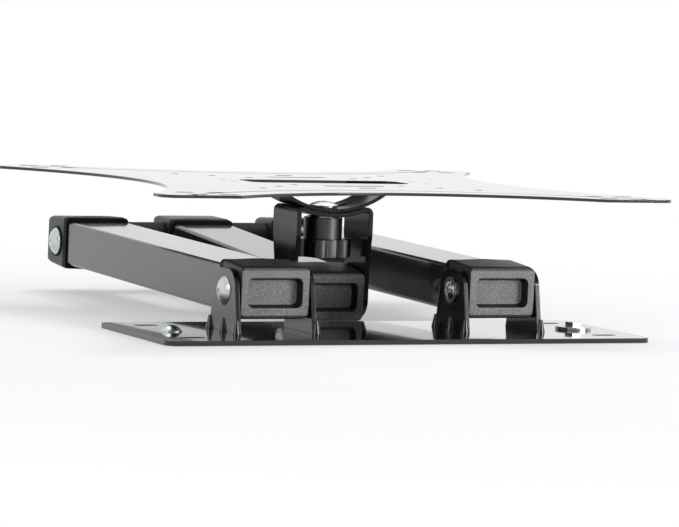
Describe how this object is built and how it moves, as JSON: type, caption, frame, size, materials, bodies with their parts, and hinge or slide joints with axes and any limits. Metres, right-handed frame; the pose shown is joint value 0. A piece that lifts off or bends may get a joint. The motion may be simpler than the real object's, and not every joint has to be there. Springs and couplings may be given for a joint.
{
  "type": "swivel tv wall mount",
  "caption": "Folding swivel wall mount for a flat screen: wall plate, twin outer arms, middle arm and a tilting hollow-sided screen plate, clamped by a lobed knob.",
  "frame": {"origin": "middle of the wall plate's back face, where it meets the wall", "axes": "+Z away from the wall, X along all hinge axes (vertical in use), +Y from the wall hinges towards the elbow when folded"},
  "size_m": [0.464, 0.5365, 0.1217],
  "materials": {
    "gloss_black": "gloss powder coat",
    "bracket_black": "semi-gloss powder coat",
    "arm_grey": "satin powder coat",
    "cap_grey": "fine moulded texture",
    "black_plastic": "matt",
    "knob_black": "moulded gloss",
    "zinc": "bright zinc plate"
  },
  "bodies": {
    "wall": {"wall_plate": "gloss_black", "wall_bracket_left": "bracket_black", "wall_bracket_right": "bracket_black", "wall_pins": "zinc", "wall_pin_washers": "zinc", "wall_bolt_left": "zinc", "wall_bolt_right": "zinc", "wall_bolt_washer": "zinc"},
    "outer_arms": {"outer_arm_left": "arm_grey", "outer_arm_right": "arm_grey", "wall_cap_left": "cap_grey", "wall_cap_right": "cap_grey", "elbow_cap_left": "cap_grey", "elbow_cap_right": "cap_grey", "outer_collars": "black_plastic", "wall_bushes": "black_plastic", "elbow_shaft": "zinc", "elbow_spacers": "black_plastic", "outer_elbow_bushes": "black_plastic"},
    "middle_arm": {"middle_arm": "arm_grey", "elbow_cap_middle": "cap_grey", "head_cap": "cap_grey", "middle_collars": "black_plastic", "middle_elbow_bushes": "black_plastic", "head_bushes": "black_plastic"},
    "head": {"head_bracket": "bracket_black", "head_pin": "zinc", "head_pin_washer": "zinc", "clamp_bolt": "zinc", "clamp_pad": "zinc", "knob_washer": "zinc"},
    "knob": {"tilt_knob": "knob_black", "knob_nut": "zinc"},
    "screen": {"tilt_strap": "bracket_black", "strap_rivets": "zinc", "tv_plate": "gloss_black"}
  },
  "joints": [
    {"name": "wall_swing", "type": "hinge", "parent": "wall", "child": "outer_arms", "pos_m": [0, 0, 0.0379], "axis": [1, 0, 0], "range_deg": [0, 90]},
    {"name": "elbow_swing", "type": "hinge", "parent": "outer_arms", "child": "middle_arm", "pos_m": [0, 0.41991, 0.0467], "axis": [-1, 0, 0], "range_deg": [0, 180]},
    {"name": "head_swivel", "type": "hinge", "parent": "middle_arm", "child": "head", "pos_m": [0, 0.1187, 0.02484], "axis": [1, 0, 0], "range_deg": [-10, 24]},
    {"name": "screen_tilt", "type": "hinge", "parent": "head", "child": "screen", "pos_m": [0, 0.1187, 0.18124], "axis": [0, -1, 0], "range_deg": [-5, 15]},
    {"name": "knob_turn", "type": "hinge", "parent": "head", "child": "knob", "pos_m": [0, 0.1187, 0.07484], "axis": [0, 0, 1], "continuous": true}
  ]
}
